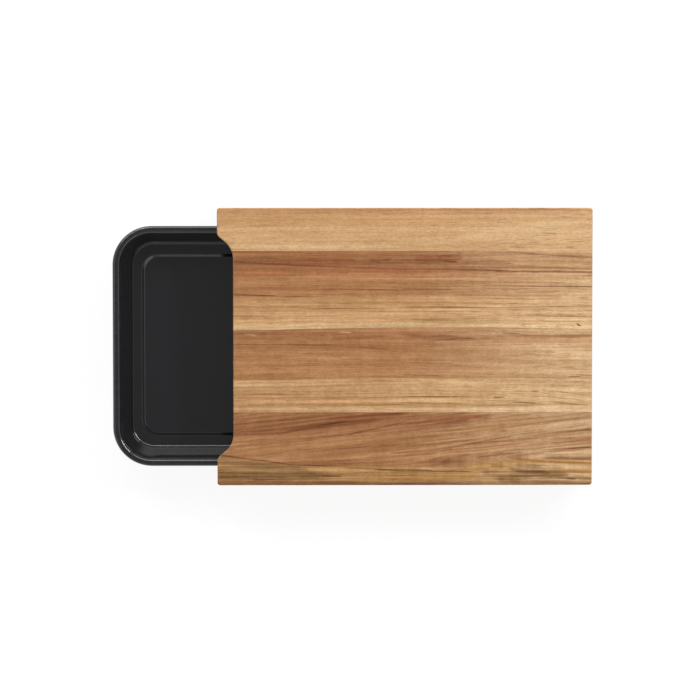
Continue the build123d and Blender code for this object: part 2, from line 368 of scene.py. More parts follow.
def edge_wear_and_highlight_group():
    """Breaks up an edge mask into rubbed patches, for worn edges and for the wood's painted edge highlight.
    """
    inputs = [("Vector", "Vector", None), ("Edge", "Float", 0.0)]
    inputs += [("Patch Size", "Float", 0.008), ("Amount", "Float", 0.5)]
    chart, given, result = new_group("Edge Wear And Highlight", "ShaderNodeTree", inputs, [("Wear", "Float")])
    patches = chart.noise(given["Vector"], chart.over(1.0, given["Patch Size"]), 4.0, 0.65)
    rubbed = chart.ramp(patches, 0.36, 0.68)
    wear = chart.times(chart.times(given["Edge"], rubbed), given["Amount"], clamp=True)
    chart.feed(result["Wear"], wear)
    return chart.tree


def fine_speckle_group():
    """Grain of a baked coating, a moulded rubber or a zinc plating."""
    inputs = [("Vector", "Vector", None), ("Grain Size", "Float", 0.0006), ("Cloud Size", "Float", 0.05)]
    outputs = [("Speckle", "Float"), ("Cloud", "Float")]
    chart, given, result = new_group("Fine Speckle", "ShaderNodeTree", inputs, outputs)
    grain = chart.noise(given["Vector"], chart.over(1.0, given["Grain Size"]), 2.0, 0.6)
    cloud = chart.noise(given["Vector"], chart.over(1.0, given["Cloud Size"]), 3.0, 0.5)
    chart.feed(result["Speckle"], chart.ramp(grain, 0.3, 0.7, smooth=False))
    chart.feed(result["Cloud"], chart.ramp(cloud, 0.3, 0.7))
    return chart.tree


def new_material(name):
    """An empty material. Returns it with its chart, its shader and its object coordinates."""
    material = bpy.data.materials.new(name)
    material.use_nodes = True
    material.node_tree.nodes.clear()
    chart = NodeChart(material.node_tree)
    shader = chart.node("ShaderNodeBsdfPrincipled")
    chart.node("ShaderNodeOutputMaterial", {"Surface": shader.outputs[0]})
    return material, chart, shader, chart.node("ShaderNodeTexCoord")


def finish_shader(chart, shader, colour, roughness, height, strength, depth):
    """Gives a shader its colour, its roughness and a bump."""
    chart.feed(shader.inputs["Base Color"], colour)
    chart.feed(shader.inputs["Roughness"], roughness)
    bump = chart.out("ShaderNodeBump", {"Height": height, "Strength": strength, "Distance": depth})
    chart.feed(shader.inputs["Normal"], bump)


# ---- Acacia ----------------------------------------------------------------------------

WOOD_TONES = {
    "honey": tone(197, 156, 111),
    "sand": tone(214, 180, 137),
    "straw": tone(212, 170, 108),
    "tan": tone(185, 139, 94),
    "ochre": tone(184, 140, 90),
    "gold": tone(184, 138, 78),
    "rose": tone(192, 143, 106),
    "rust": tone(160, 102, 64),
    "russet": tone(162, 110, 70),
    "mahogany": tone(134, 78, 46),
    "umbrous": tone(136, 92, 54),
    "umber": tone(104, 58, 32),
    "olive": tone(134, 99, 60),
    "bark": tone(66, 32, 20),
    "clay": tone(169, 120, 78),
    "walnut": tone(153, 104, 66),
    "biscuit": tone(190, 146, 100),
    "wheat": tone(198, 155, 106),
}

# How a piece of wood looks if nothing else is said: how much paler its right-hand end is, how strongly
# its grain shows, how curly it is, how its rings slant through its thickness, how far its figure wanders,
# the lean of its fibres and where that starts, and its bow and where that lies.
PLAIN_FIGURE = {
    "paler": 0.0,
    "contrast": 1.0,
    "curl": 0.1,
    "slant": 0.5,
    "wander": 0.8,
    "lean": 0.0,
    "lean_from": 0.0,
    "bow": 0.0,
    "bow_across": 0.0,
}

# What differs in each stave, with the tones of its bands and where they lie across the board, in
# millimetres from its middle, beginning at the rear.
STAVE_FIGURE = {
    "board_stave_1": {
        "paler": 0.3,
        "contrast": 0.48,
        "curl": 0.06,
        "slant": 0.75,
        "wander": 0.25,
        "bands": (
            (147, "tan"), (141, "biscuit"), (134, "biscuit"), (126, "honey"), (112, "honey"),
            (103, "honey"),
        ),
    },
    "board_stave_2": {
        "paler": 0.55,
        "contrast": 1.05,
        "curl": 0.12,
        "slant": -0.9,
        "wander": 0.3,
        "bow": 2.8,
        "bow_across": 17.0,
        "bands": (
            (101, "walnut"), (88, "walnut"), (80, "rust"), (74, "clay"), (62, "clay"), (56, "clay"),
            (53, "tan"), (42, "biscuit"), (29, "biscuit"), (24.5, "wheat"), (22.5, "sand"),
            (18.8, "sand"), (17.8, "clay"),
        ),
    },
    "board_stave_3": {
        "paler": 0.62,
        "contrast": 0.95,
        "curl": 0.14,
        "slant": 0.55,
        "wander": 0.25,
        "bow": 2.6,
        "bow_across": -36.0,
        "bands": (
            (14, "walnut"), (6, "clay"), (-6, "clay"), (-16, "clay"), (-29, "clay"), (-34, "clay"),
            (-35.2, "clay"), (-36.0, "wheat"), (-40, "honey"), (-50, "biscuit"), (-58, "wheat"),
            (-62, "biscuit"), (-66, "honey"),
        ),
    },
    "board_stave_4": {
        "paler": 0.55,
        "contrast": 1.4,
        "curl": 0.14,
        "slant": -0.7,
        "wander": 0.5,
        "lean": 0.10,
        "lean_from": -125.0,
        "bands": (
            (-72, "walnut"), (-90, "walnut"), (-105, "clay"), (-118, "clay"), (-124, "clay"),
            (-131, "ochre"), (-141, "ochre"), (-147, "umbrous"),
        ),
    },
}

# Streaks of another tone. Each runs from one place to another, given along and across the board,
# then come how far its middle bends to the rear, its width, its tone and how well it covers.
STAVE_STREAKS = {
    "board_stave_1": (
        ((-140, 146), (30, 146), 0, 3, "russet", 0.4),
        ((0, 146), (257, 146), 0, 4.5, "russet", 0.65),
        ((20, 141), (160, 142), 0, 4, "clay", 0.45),
        ((-5, 136), (75, 135), 0, 1.6, "russet", 0.5),
        ((-130, 130), (-40, 129), 0, 1.5, "tan", 0.5),
        ((-90, 123), (10, 122), 0, 1.5, "tan", 0.5),
        ((0, 117), (90, 117), 0, 1.4, "tan", 0.4),
        ((-128, 106), (60, 107), 0, 7, "sand", 0.5),
        ((115, 118), (257, 134), 0, 15, "sand", 0.5),
        ((185, 132), (215, 136), 0, 4, "straw", 0.35),
        ((98, 103), (180, 116), 1, 1.4, "tan", 0.6),
        ((165, 114), (235, 122), 0, 1.3, "tan", 0.5),
        ((132, 104), (170, 112), 0, 1.8, "ochre", 0.6),
        ((165, 107), (205, 111), 0, 5, "rose", 0.55),
        ((210, 109), (257, 113), 0, 1.4, "tan", 0.5),
    ),
    "board_stave_2": (
        ((-60, 93), (14, 92), 0, 14, "rust", 0.6),
        ((-126, 98), (-50, 99), 0, 5, "walnut", 0.5),
        ((66, 94), (98, 94), 0, 13, "mahogany", 0.65),
        ((90, 95), (120, 95), 0, 11, "mahogany", 0.65),
        ((96, 92), (113, 90), 0, 3.5, "umber", 0.6),
        ((18, 92), (33, 90), 0, 5, "mahogany", 0.6),
        ((0, 94), (16, 92), 0, 6, "clay", 0.6),
        ((32, 92), (44, 94.5), 0, 1.8, "umber", 0.8),
        ((111, 100.5), (117, 100), 0, 2.2, "bark", 0.7),
        ((90, 86), (180, 85), 0, 13, "walnut", 0.4),
        ((150, 95), (190, 93), 0, 8, "rose", 0.5),
        ((175, 90), (300, 87), 0, 6, "biscuit", 0.6),
        ((131, 88), (240, 84), 0, 3, "rust", 0.55),
        ((160, 102), (200, 98), 0, 2.8, "umbrous", 0.75),
        ((190, 98.5), (300, 93), 0, 2.6, "umbrous", 0.7),
        ((-170, 94), (62, 83), -1.6, 3.2, "umber", 0.9),
        ((-160, 89.6), (-92, 88.5), 0, 2, "umber", 0.6),
        ((40, 83.2), (175, 80.6), 0.3, 3, "umber", 0.95),
        ((150, 79.5), (180, 80), 0, 3, "mahogany", 0.7),
        ((160, 80.5), (320, 79), 0, 2.4, "mahogany", 0.8),
        ((-160, 86), (60, 78), 0, 9, "walnut", 0.5),
        ((-170, 94), (20, 90), 0, 12, "mahogany", 0.35),
        ((-10, 96), (136, 87), 0, 11, "mahogany", 0.2),
        ((-50, 85), (330, 82.5), 0, 5, "umbrous", 0.5),
        ((-110, 84), (160, 83.5), 0, 7, "mahogany", 0.45),
        ((-116, 64), (-36, 63), 0, 3, "rust", 0.6),
        ((-45, 61.5), (60, 60.5), 0, 2.4, "mahogany", 0.5),
        ((48, 62), (112, 61), 0, 2.6, "umber", 0.6),
        ((48, 65), (135, 64.8), 0, 1.8, "umbrous", 0.6),
        ((125, 65), (320, 63), 0.3, 2, "umber", 0.85),
        ((170, 58), (226, 59), 0, 4, "russet", 0.5),
        ((-160, 57.3), (-76, 54.3), 0, 3.2, "umber", 0.95),
        ((-85, 53.6), (-28, 53), 0, 1.4, "umber", 0.5),
        ((118, 52.5), (172, 51.5), 0, 1.6, "umbrous", 0.5),
        ((-115, 46), (-86, 45), 0, 1.5, "umbrous", 0.5),
        ((-64, 40.5), (6, 41), 0, 1.8, "umbrous", 0.7),
        ((48, 42.4), (155, 42), 0, 2.2, "umbrous", 0.7),
        ((145, 42), (300, 43.4), 0, 2.4, "umbrous", 0.6),
        ((-160, 33.4), (-84, 32.4), 0, 2, "umbrous", 0.7),
        ((-55, 32), (-10, 32), 0, 1.5, "umbrous", 0.5),
        ((65, 34.5), (135, 33.8), 0, 1.6, "umbrous", 0.65),
        ((130, 32.4), (320, 31.8), 0, 1.8, "umbrous", 0.65),
        ((165, 29.8), (240, 29), 0, 1.5, "umbrous", 0.55),
        ((60, 27), (120, 26.5), 0, 1.6, "umbrous", 0.45),
        ((239, 24), (244.5, 21), 0, 2.8, "bark", 0.95),
    ),
    "board_stave_3": (
        ((-116, 14), (-100, 12), 0, 4, "biscuit", 0.6),
        ((-92, 14), (-70, 9), 0, 7, "walnut", 0.7),
        ((-74, 15), (-42, 12), 0, 7, "rust", 0.6),
        ((-50, 9), (-20, 8), 0, 6, "walnut", 0.6),
        ((-16, 16.5), (0, 15.5), 0, 3, "sand", 0.6),
        ((-28, 7), (62, 15), 1, 8, "walnut", 0.85),
        ((0, 9), (40, 12), 0, 5, "mahogany", 0.5),
        ((-170, 3.6), (-4, 1.6), 0, 2, "umber", 0.65),
        ((4, 0.5), (44, -3.5), 0, 3.4, "umber", 0.55),
        ((45, 14), (135, 8), 0, 9, "mahogany", 0.55),
        ((80, 6.5), (133, 9.5), 0, 2, "umber", 0.6),
        ((160, 14.3), (180, 13.6), 0, 2.4, "umber", 0.75),
        ((120, 6), (330, 4), 0, 20, "clay", 0.5),
        ((162, 11), (320, 12.6), 0, 6, "walnut", 0.7),
        ((-10, 0), (72, -4), 0, 11, "rust", 0.4),
        ((-60, -10), (60, -12), 0, 14, "clay", 0.5),
        ((-126, -9), (-90, -19), 0, 4, "russet", 0.5),
        ((48, -17), (112, -18.4), 0, 2, "umbrous", 0.75),
        ((-90, -21), (-30, -20), 0, 1.6, "umbrous", 0.45),
        ((48, -31.6), (96, -33.4), 0, 2.4, "umber", 0.6),
        ((-60, -33.5), (60, -33.5), 0, 2, "walnut", 0.6),
        ((186, 3), (300, -20), 0, 16, "sand", 0.5),
        ((207, -29), (300, -32.6), 0, 2.2, "rust", 0.7),
        ((230, -33), (246, -32.4), 0, 1.6, "umber", 0.6),
        ((-116, -50.4), (-46, -51.3), 0, 1.9, "umber", 0.6),
        ((-50, -51.3), (60, -50.6), 0, 1.4, "umbrous", 0.6),
        ((-170, -53.2), (140, -53), 0, 2.8, "sand", 0.7),
        ((-103, -61), (-10, -62.4), 0, 1.6, "umbrous", 0.55),
        ((-8, -62.4), (60, -61.2), 0, 2, "umber", 0.5),
        ((48, -54.4), (133, -53.8), 0, 1.8, "umbrous", 0.65),
        ((48, -59.6), (120, -60.8), 0, 2, "umbrous", 0.65),
        ((150, -55), (164, -54.4), 0, 1.8, "umber", 0.75),
        ((170, -59), (198, -60.4), 0, 2, "umber", 0.65),
        ((190, -49.2), (200, -48.8), 0, 1.6, "umber", 0.7),
        ((196, -53), (250, -57.5), 0, 1.7, "umbrous", 0.65),
        ((210, -48), (252, -52), 0, 1.6, "umbrous", 0.6),
        ((215, -59.5), (254, -63), 0, 1.7, "umbrous", 0.6),
        ((-220, -59), (60, -58), 0, 24, "tan", 0.85),
        ((-240, -62.5), (10, -62.5), 0, 6, "clay", 0.6),
        ((-200, -66.5), (330, -67), 0, 3.4, "sand", 0.6),
    ),
    "board_stave_4": (
        ((-92, -73), (-68, -79), 0, 10, "rust", 0.5),
        ((-64, -73), (-10, -76), 0, 6, "walnut", 0.6),
        ((-170, -96), (-58, -90.2), -0.7, 4.2, "umber", 0.7),
        ((-130, -90), (42, -76), -2, 9, "mahogany", 0.6),
        ((-78, -91), (-2, -79.4), -0.6, 4.4, "umber", 0.7),
        ((-32, -79), (62, -70), 0, 10, "mahogany", 0.9),
        ((-8, -94), (62, -79), -0.5, 2.4, "umber", 0.7),
        ((-60, -99), (6, -93), 0, 1.6, "umber", 0.5),
        ((48, -85), (156, -72), -1, 12, "mahogany", 0.7),
        ((104, -91), (216, -81), 0, 13, "tan", 0.6),
        ((20, -98), (170, -87), 0, 9, "tan", 0.5),
        ((124, -83), (214, -76), 0, 11, "tan", 0.5),
        ((76, -78), (142, -74), 0, 8, "mahogany", 0.7),
        ((84, -82), (128, -78), 0, 3, "umber", 0.7),
        ((60, -92), (170, -84), -1, 2, "walnut", 0.6),
        ((-130, -104), (-20, -108), 0, 6, "clay", 0.5),
        ((-20, -109), (60, -103), 0, 2, "umber", 0.5),
        ((38, -113.5), (112, -109), -0.5, 3, "umber", 0.75),
        ((98, -110), (178, -94.5), 0.5, 2.8, "umber", 0.7),
        ((162, -95.5), (310, -85), 0.5, 4, "umbrous", 0.8),
        ((150, -101), (310, -95), 0.5, 4, "russet", 0.7),
        ((38, -117), (94, -114.3), 0, 2.2, "umber", 0.65),
        ((50, -115), (190, -103), 0, 10, "walnut", 0.8),
        ((-90, -123), (120, -122), 0, 17, "walnut", 0.8),
        ((120, -106), (330, -95), 0, 15, "walnut", 0.55),
        ((120, -104), (200, -101), 1, 1.8, "umber", 0.5),
        ((195, -111), (310, -103.5), 0, 2.8, "mahogany", 0.9),
        ((190, -113.4), (320, -115), 0.5, 3, "sand", 1.0),
        ((195, -119.6), (310, -119.6), 0, 6, "umbrous", 0.8),
        ((128, -119), (188, -112.6), 0.5, 2.6, "umber", 0.6),
        ((60, -124), (130, -122), 0, 2, "umbrous", 0.6),
        ((-200, -114), (-34, -134), 0, 14, "olive", 0.85),
        ((-300, -131), (-30, -135), 0, 14, "olive", 0.6),
        ((-330, -135), (0, -138), 0, 20, "olive", 1.0),
        ((-300, -146), (60, -147), 0, 8, "umbrous", 0.9),
        ((-160, -113), (-62, -125.6), 0, 2.8, "umber", 0.85),
        ((-72, -125.2), (-36, -126.6), 0, 2.2, "umber", 0.7),
        ((-46, -126.4), (38, -131.4), 0, 2.2, "umber", 0.75),
        ((-36, -128.5), (60, -129.5), 0, 4, "gold", 0.5),
        ((22, -131.2), (90, -132.4), 0, 3.8, "bark", 1.0),
        ((76, -132.4), (128, -133.4), 0, 2.2, "umber", 0.7),
        ((80, -133), (132, -133.6), 0, 1.8, "umber", 0.7),
        ((20, -138), (142, -137.5), 0, 8, "gold", 0.9),
        ((44, -144), (108, -144), 0, 5, "russet", 0.7),
        ((-108, -142), (-80, -141.4), 0, 2, "umber", 0.6),
        ((-34, -137.6), (-10, -138.2), 0, 2.2, "umber", 0.7),
        ((-60, -143), (10, -144), 0, 3, "umbrous", 0.5),
        ((112, -131), (208, -122), 0.8, 9, "gold", 1.0),
        ((122, -129), (178, -125), 0, 5, "straw", 0.7),
        ((186, -122), (310, -128), 0.8, 5, "gold", 0.8),
        ((138, -133), (182, -144), 0, 12, "walnut", 0.6),
        ((150, -141), (236, -136), 0, 15, "olive", 0.9),
        ((172, -126), (228, -131), 0, 9, "olive", 0.7),
        ((166, -130.5), (214, -136), 0, 9, "umber", 0.6),
        ((200, -129.6), (310, -139), 0, 7, "gold", 0.7),
        ((190, -139.6), (310, -142), 0, 4, "olive", 0.9),
        ((228, -141), (240, -141.6), 0, 3.4, "umber", 0.7),
        ((190, -145.4), (310, -146), 0, 3, "umbrous", 0.8),
    ),
}


def wood_colour(chart, grain, bands, streaks, paler):
    """The tones of a piece of wood: its bands, paler towards the right-hand end, then its streaks."""
    rear, front = bands[0][0], bands[-1][0]
    share = chart.ramp(grain["Across"], rear, front, smooth=False)
    ramp = chart.node("ShaderNodeValToRGB", {0: share})
    stops = ramp.color_ramp.elements
    while len(stops) < len(bands):
        stops.new(1.0)
    for stop, (across, name) in zip(stops, bands):
        stop.position = (rear - across) / (rear - front)
        stop.color = (*WOOD_TONES[name], 1.0)
    pale = chart.times(chart.ramp(grain["Along"], 30.0, 256.0), paler)
    colour = chart.blend(pale, ramp.outputs[0], WOOD_TONES["sand"])
    for start, end, bend, width, name, cover in streaks:
        half_length = (end[0] - start[0]) / 2
        colour = place_group(
            chart,
            "Grain Streak",
            grain_streak_group,
            Colour=colour,
            Along=grain["Along"],
            Across=grain["Across"],
            Fibre=grain["Fibre"],
            Centre_Along=(start[0] + end[0]) / 2,
            Centre_Across=(start[1] + end[1]) / 2 + bend,
            Slope=(end[1] - start[1]) / (end[0] - start[0]),
            Bend=-bend / half_length**2,
            Half_Length=half_length,
            Half_Width=width / 2,
            Tone=WOOD_TONES[name],
            Cover=cover,
        )["Colour"]
    return colour


def wood_material(name, seed, bands, streaks=(), turned=False, edges=(), **figure):
    """Oiled acacia. A turned piece has its grain along Y, and edges are the glue lines beside it."""
    settings = bpy.context.scene.cutting_board_wood
    figure = PLAIN_FIGURE | figure
    material, chart, shader, place = new_material(name)
    vector = place.outputs["Object"]
    if turned:
        vector = chart.out("ShaderNodeMapping", {"Vector": vector, "Rotation": (0.0, 0.0, math.pi / 2)})
    labels = ("Slant", "Wander", "Lean", "Lean_From", "Bow", "Bow_Across")
    flow = {label: figure[label.lower()] for label in labels}
    grain = place_group(
        chart, "Wood Fibre", wood_fibre_group, Vector=vector, Top=board_high.z, Seed=seed, **flow
    )
    colour = wood_colour(chart, grain, bands, streaks, figure["paler"])

    # fine fibres, broad bands, flecks, curly ripples and pores lighten and darken the tones
    lights = 1.0
    for effect, contrast in (
        ("Fibre", settings.fibre_contrast * figure["contrast"]),
        ("Band", settings.band_contrast * figure["contrast"]),
        ("Fleck", settings.fleck_contrast),
        ("Ripple", figure["curl"]),
    ):
        lights = chart.times(lights, chart.times_plus(grain[effect], contrast, 1.0 - contrast / 2))
    pores = chart.times(grain["Pores"], settings.pore_contrast)
    lights = chart.times(lights, chart.minus(1.0, pores))

    # end grain drinks more oil, and the rounded edges are painted paler in rubbed patches, partly as wear and
    # partly as a painted highlight along the round-overs
    normal = chart.separate(place.outputs["Normal"])
    end_grain = chart.ramp(chart.math("ABSOLUTE", normal[1 if turned else 0]), 0.45, 0.9)
    lights = chart.times(lights, chart.times_plus(end_grain, -settings.end_darkening, 1.0))
    edge = chart.minus(chart.math("ABSOLUTE", normal[2]), 0.5)
    edge = chart.ramp(chart.math("ABSOLUTE", edge), 0.30, 0.47, 1.0, 0.0)
    wear = place_group(
        chart, "Edge Wear And Highlight", edge_wear_and_highlight_group, Vector=vector, Edge=edge, Patch_Size=0.012, Amount=0.45
    )["Wear"]
    colour = chart.blend(wear, colour, WOOD_TONES["sand"])
    for border in edges:
        off = chart.math("ABSOLUTE", chart.minus(chart.separate(vector)[1], border))
        lights = chart.times(lights, chart.ramp(off, 0.0, settings.glue_line, 0.72, 1.0))

    # what is darker is also redder, as oil makes it
    warm = chart.combine(*(chart.math("POWER", lights, power) for power in (0.85, 1.1, 1.4)))
    height = chart.minus(chart.times(grain["Fibre"], 0.35), grain["Pores"])
    colour = chart.blend(1.0, colour, warm, "MULTIPLY")
    rough = chart.times_plus(grain["Fibre"], -0.10, 0.60)
    finish_shader(chart, shader, colour, rough, height, 0.5, settings.pore_depth)
    shader.inputs["Specular IOR Level"].default_value = 0.25
    return material


def dress(node, material):
    """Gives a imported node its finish."""
    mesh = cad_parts[node].data
    mesh.materials.clear()
    mesh.materials.append(material)


# ---- Steel, rubber and beech -----------------------------------------------------------


def coating_material():
    """Baked non-stick coating, a little rubbed along the rim."""
    paint = bpy.context.scene.cutting_board_tray.coating_colour
    material, chart, shader, place = new_material("Tray Coating")
    vector = place.outputs["Object"]
    speckle = place_group(
        chart, "Fine Speckle", fine_speckle_group, Vector=vector, Grain_Size=0.0007, Cloud_Size=0.06
    )
    rub = chart.node("ShaderNodeAttribute", attribute_name="rub", attribute_type="GEOMETRY").outputs["Fac"]
    wear = place_group(
        chart, "Edge Wear And Highlight", edge_wear_and_highlight_group, Vector=vector, Edge=rub, Patch_Size=0.006, Amount=0.16
    )["Wear"]
    base = chart.blend(speckle["Speckle"], paint, [share * 1.06 for share in paint])
    colour = chart.blend(wear, base, tone(70, 70, 72))
    rough = chart.times_plus(wear, -0.08, chart.times_plus(speckle["Cloud"], 0.04, 0.13))
    finish_shader(chart, shader, colour, rough, speckle["Speckle"], 0.06, 0.00005)
    shader.inputs["IOR"].default_value = 1.5
    shader.inputs["Coat Weight"].default_value = 0.9
    shader.inputs["Coat Roughness"].default_value = 0.07
    return material


def speckled_material(name, tones, grain_size, cloud_size, rough, rough_range, strength, depth, metallic=0.0):
    """A plain material with a fine grain, whose tone changes a little in soft clouds."""
    material, chart, shader, place = new_material(name)
    speckle = place_group(
        chart,
        "Fine Speckle",
        fine_speckle_group,
        Vector=place.outputs["Object"],
        Grain_Size=grain_size,
        Cloud_Size=cloud_size,
    )
    colour = chart.blend(speckle["Cloud"], *tones)
    roughness = chart.times_plus(speckle["Speckle"], rough_range, rough)
    finish_shader(chart, shader, colour, roughness, speckle["Speckle"], strength, depth)
    shader.inputs["Metallic"].default_value = metallic
    return material


def rubber_material():
    """Matt moulded rubber."""
    tones = (tone(30, 30, 31), tone(44, 43, 42))
    grain = {"grain_size": 0.0004, "cloud_size": 0.006, "strength": 0.35, "depth": 0.0001}
    return speckled_material("Foot Rubber", tones, rough=0.68, rough_range=0.15, **grain)


def screw_material():
    """Zinc-plated steel."""
    tones = (tone(176, 178, 184), tone(202, 203, 206))
    grain = {"grain_size": 0.0003, "cloud_size": 0.003, "strength": 0.15, "depth": 0.00003}
    return speckled_material("Screw Steel", tones, rough=0.26, rough_range=0.14, metallic=1.0, **grain)


def beech_material():
    """Plain turned beech with its short flecks."""
    material, chart, shader, place = new_material("Dowel Beech")
    drawn_out = chart.out(
        "ShaderNodeMapping", {"Vector": place.outputs["Object"], "Scale": (900.0, 900.0, 160.0)}
    )
    flecks = chart.ramp(chart.noise(drawn_out, 1.0, 2.0, 0.5), 0.55, 0.75)
    colour = chart.blend(flecks, tone(214, 178, 136), tone(176, 132, 92))
    finish_shader(chart, shader, colour, chart.times_plus(flecks, -0.1, 0.72), flecks, 0.3, 0.0001)
    return material


# ---- Meshes ----------------------------------------------------------------------------


def new_piece(name, data):
    """An object of the scene, with its mesh, lamp or camera."""
    piece = bpy.data.objects.new(name, data)
    bpy.context.scene.collection.objects.link(piece)
    return piece


def shade(mesh, smooth):
    mesh.polygons.foreach_set("use_smooth", [smooth] * len(mesh.polygons))


def shell_mesh(name, shell):
    """Ends a bmesh as a mesh with its faces turned outwards."""
    bmesh.ops.recalc_face_normals(shell, faces=shell.faces)
    mesh = bpy.data.meshes.new(name)
    shell.to_mesh(mesh)
    shell.free()
    return mesh


def turned_mesh(name, profile, steps, shape=None):
    """Turns a profile of (radius, height) about Z. A shape may change the radius by angle and height."""
    shell = bmesh.new()
    rings = []
    for radius, height in profile:
        if radius == 0:
            rings.append([shell.verts.new((0, 0, height))] * steps)
            continue
        ring = []
        for step in range(steps):
            angle = math.tau * step / steps
            reach = radius * (shape(angle, height, radius) if shape else 1.0)
            ring.append(shell.verts.new((reach * math.cos(angle), reach * math.sin(angle), height)))
        rings.append(ring)
    pairs = list(zip(rings, rings[1:]))
    if profile[0][0]:
        pairs.append((rings[-1], rings[0]))
    for lower, upper in pairs:
        for step in range(steps):
            after = (step + 1) % steps
            corners = (lower[step], lower[after], upper[after], upper[step])
            shell.faces.new(dict.fromkeys(corners))
    mesh = shell_mesh(name, shell)
    shade(mesh, True)
    return mesh


def swung(x, y, angle):
    """A point or a way in a plane, swung round the origin."""
    return (x * math.cos(angle) - y * math.sin(angle), x * math.sin(angle) + y * math.cos(angle))


def right_of(way):
    """The way to the right of another, in a plane."""
    return Vector((way.y, -way.x))


def rounded(points, radii, steps=4):
    """A bent line in a plane with its corners rounded, as plain points."""
    return [tuple(point) for point, _ in bent_line(points, radii, steps, 0.0)]


def bent_line(points, radii, steps, hold):
    """Rounds the corners of a bent line.

    Returns its points, each with the unit vector to the right of its way. Points a little
    before and after each bend keep the flats beside it flat.
    """
    points = [Vector(point) for point in points]
    ways = [(after - before).normalized() for before, after in zip(points, points[1:])]
    line = [(points[0], right_of(ways[0]))]
    for corner, way, next_way, radius in zip(points[1:], ways, ways[1:], radii):
        turn = math.atan2(way.cross(next_way), way.dot(next_way))
        side = math.copysign(1.0, turn)
        setback = radius * math.tan(abs(turn) / 2)
        start = corner - way * setback
        centre = start - right_of(way) * side * radius
        if hold:
            line.append((start - way * hold, right_of(way)))
        for step in range(steps + 1):
            right = right_of(Vector(swung(way.x, way.y, turn * step / steps)))
            line.append((centre + right * side * radius, right))
        if hold:
            line.append((corner + next_way * (setback + hold), right_of(next_way)))
    line.append((points[-1], right_of(ways[-1])))
    return line


# ---- Geometry Nodes --------------------------------------------------------------------


def add_tree(piece, tree, **values):
    """Puts a tree on a piece as a modifier and sets its inputs by their identifiers."""
    modifier = piece.modifiers.new(tree.name, "NODES")
    modifier.node_group = tree
    sockets = {item.name: item.identifier for item in tree.interface.items_tree if item.in_out == "INPUT"}
    for name, value in values.items():
        modifier[sockets[name.replace("_", " ")]] = value


def bake_piece(piece, name):
    """Turns a piece with its modifiers into a plain mesh under a name of its own."""
    bpy.context.view_layer.update()
    graph = bpy.context.evaluated_depsgraph_get()
    mesh = bpy.data.meshes.new_from_object(
        piece.evaluated_get(graph), preserve_all_data_layers=True, depsgraph=graph
    )
    if not mesh.polygons:
        raise RuntimeError(f"{name} came out with no faces")
    mesh.name = name
    source = piece.data
    piece.modifiers.clear()
    piece.data = mesh
    bpy.data.meshes.remove(source)
    piece.name = name
    return piece


def pressed_tray_tree():
    """Carries a section of points round a rounded rectangle and closes it into a sheet.

    Each point of the section says how far it reaches from the opening along X and along Y,
    its corner radius, its height and how much its coating is rubbed.
    """
    inputs = [("Section", "Geometry", None), ("Opening Length", "Float", 0.36)]
    inputs += [("Opening Width", "Float", 0.24), ("Corner Steps", "Int", 24), ("Corner Hold", "Float", 0.002)]
    inputs += [("Centre", "Vector", None), ("Coating", "Material", None)]
    chart, given, result = new_group("Pressed Tray", "GeometryNodeTree", inputs, [("Tray", "Geometry")])
    section = given["Section"]
    points = chart.out("GeometryNodeAttributeDomainSize", {"Geometry": section}, component="MESH")
    per_corner = chart.plus(given["Corner Steps"], 3.0)
    around = chart.times(per_corner, 4.0)
    columns = chart.plus(around, 1.0)
    grid = chart.out("GeometryNodeMeshGrid", {"Vertices X": points, "Vertices Y": columns})
    index = chart.out("GeometryNodeInputIndex")
    row = chart.math("FLOOR", chart.over(chart.plus(index, 0.5), columns))
    column = chart.minus(index, chart.times(row, columns))
    column = chart.math("MODULO", column, around)
    corner = chart.math("FLOOR", chart.over(chart.plus(column, 0.5), per_corner))
    place = chart.minus(column, chart.times(corner, per_corner))

    # each corner has a point held on the flat before it and one after it
    step = chart.over(chart.minus(place, 1.0), given["Corner Steps"], clamp=True)
    angle = chart.times(chart.plus(corner, step), math.pi / 2)
    middle = chart.times(chart.plus(corner, 0.5), math.pi / 2)
    last = chart.minus(place, chart.plus(given["Corner Steps"], 1.0), clamp=True)
    first = chart.minus(1.0, place, clamp=True)
    hold = chart.minus(last, first)

    def sample(name):
        """What the section's point of this row says."""
        value = chart.out("GeometryNodeInputNamedAttribute", {"Name": name}, data_type="FLOAT")
        inputs = {"Geometry": section, "Value": value, "Index": row}
        return chart.out("GeometryNodeSampleIndex", inputs, data_type="FLOAT")

    radius = sample("corner")

    def coordinate(opening, reach, turn, tangent, sign):
        """Where a point of the grid lies along one axis."""
        half = chart.plus(chart.times(opening, 0.5), sample(reach))
        flat = chart.minus(half, radius)
        side = chart.math("SIGN", chart.math(turn, middle))
        value = chart.times_plus(flat, side, chart.times(radius, chart.math(turn, angle)))
        ease = chart.math("MINIMUM", chart.math("MAXIMUM", flat, 0.0), given["Corner Hold"])
        away = chart.times(chart.math(tangent, angle), chart.times(hold, sign))
        return chart.times_plus(ease, away, value)

    x = coordinate(given["Opening Length"], "reach_x", "COSINE", "SINE", -1.0)
    y = coordinate(given["Opening Width"], "reach_y", "SINE", "COSINE", 1.0)
    position = chart.combine(x, y, sample("height"))
    position = chart.out("ShaderNodeVectorMath", {0: position, 1: given["Centre"]}, operation="ADD")
    sheet = chart.out("GeometryNodeSetPosition", {"Geometry": grid, "Position": position})
    rub = {"Geometry": sheet, "Name": "rub", "Value": sample("rub")}
    sheet = chart.out("GeometryNodeStoreNamedAttribute", rub, data_type="FLOAT", domain="POINT")
    sheet = chart.out("GeometryNodeMergeByDistance", {"Geometry": sheet, "Distance": 0.00001})
    sheet = chart.out("GeometryNodeSetShadeSmooth", {"Geometry": sheet})
    sheet = chart.out("GeometryNodeRealizeInstances", {"Geometry": sheet})
    sheet = chart.out("GeometryNodeSetMaterial", {"Geometry": sheet, "Material": given["Coating"]})
    chart.feed(result["Tray"], sheet)
    return chart.tree


